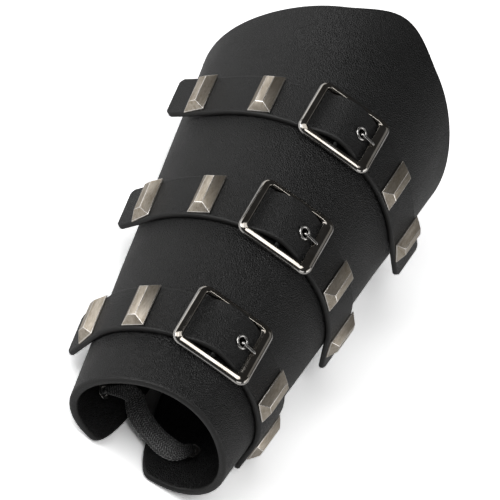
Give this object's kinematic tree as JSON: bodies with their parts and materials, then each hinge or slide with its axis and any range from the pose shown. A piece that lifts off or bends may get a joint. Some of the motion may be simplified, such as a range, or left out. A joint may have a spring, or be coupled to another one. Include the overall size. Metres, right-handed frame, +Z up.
{
  "type": "leather bracer",
  "caption": "Tapered leather forearm bracer, open and laced along the back, with strap bands over the front that carry centre-bar buckles and hipped bar studs.",
  "frame": {"origin": "middle of the footprint on the ground plane, with the bracer lying on its two back flaps", "axes": "+Y from the wrist end to the elbow end, +Z up through the buckles, +X to the right seen from the wrist end"},
  "size_m": [0.1492, 0.249, 0.122],
  "materials": {
    "shell_leather": "fine-grained charcoal leather, semi-matt",
    "strap_leather": "fine-grained black strap leather, semi-matt",
    "gunmetal": "dark gunmetal plating, polished",
    "bright_steel": "bright nickel plating",
    "aged_nickel": "aged warm nickel, satin",
    "lace_cloth": "flat woven black lace"
  },
  "bodies": {
    "bracer": {"shell": "shell_leather", "strap_wrist": "strap_leather", "strap_middle": "strap_leather", "strap_elbow": "strap_leather", "prong_eyelet_wrist": "bright_steel", "prong_eyelet_middle": "bright_steel", "prong_eyelet_elbow": "bright_steel", "stud_wrist_left_outer": "aged_nickel", "stud_wrist_left_inner": "aged_nickel", "stud_wrist_right_inner": "aged_nickel", "stud_wrist_right_outer": "aged_nickel", "stud_middle_left_outer": "aged_nickel", "stud_middle_left_inner": "aged_nickel", "stud_middle_right_inner": "aged_nickel", "stud_middle_right_outer": "aged_nickel", "stud_elbow_left_outer": "aged_nickel", "stud_elbow_left_inner": "aged_nickel", "stud_elbow_right_inner": "aged_nickel", "stud_elbow_right_outer": "aged_nickel", "rivet_caps_wrist": "aged_nickel", "rivet_caps_middle": "aged_nickel", "rivet_caps_elbow": "aged_nickel", "lace_eyelets_left": "aged_nickel", "lace_eyelets_right": "aged_nickel", "lace": "lace_cloth", "lace_tips": "aged_nickel"},
    "buckle_wrist": {"buckle_frame_wrist": "gunmetal"},
    "prong_wrist": {"buckle_prong_wrist": "bright_steel"},
    "buckle_middle": {"buckle_frame_middle": "gunmetal"},
    "prong_middle": {"buckle_prong_middle": "bright_steel"},
    "buckle_elbow": {"buckle_frame_elbow": "gunmetal"},
    "prong_elbow": {"buckle_prong_elbow": "bright_steel"}
  },
  "joints": [
    {"name": "buckle_wrist_rock", "type": "hinge", "parent": "bracer", "child": "buckle_wrist", "pos_m": [0, -0.0872, 0.07834], "axis": [0, 0.9768, 0.2141], "range_deg": [-1.5, 1.5]},
    {"name": "prong_wrist_lift", "type": "hinge", "parent": "buckle_wrist", "child": "prong_wrist", "pos_m": [0, -0.0872, 0.07834], "axis": [0, -0.9768, -0.2141], "range_deg": [0, 4]},
    {"name": "buckle_middle_rock", "type": "hinge", "parent": "bracer", "child": "buckle_middle", "pos_m": [0, -0.02057, 0.09335], "axis": [0, 0.9768, 0.2141], "range_deg": [-1.5, 1.5]},
    {"name": "prong_middle_lift", "type": "hinge", "parent": "buckle_middle", "child": "prong_middle", "pos_m": [0, -0.02057, 0.09335], "axis": [0, -0.9768, -0.2141], "range_deg": [0, 4]},
    {"name": "buckle_elbow_rock", "type": "hinge", "parent": "bracer", "child": "buckle_elbow", "pos_m": [0, 0.04428, 0.10806], "axis": [0, 0.9768, 0.2141], "range_deg": [-1.5, 1.5]},
    {"name": "prong_elbow_lift", "type": "hinge", "parent": "buckle_elbow", "child": "prong_elbow", "pos_m": [0, 0.04428, 0.10806], "axis": [0, -0.9768, -0.2141], "range_deg": [0, 4]}
  ]
}
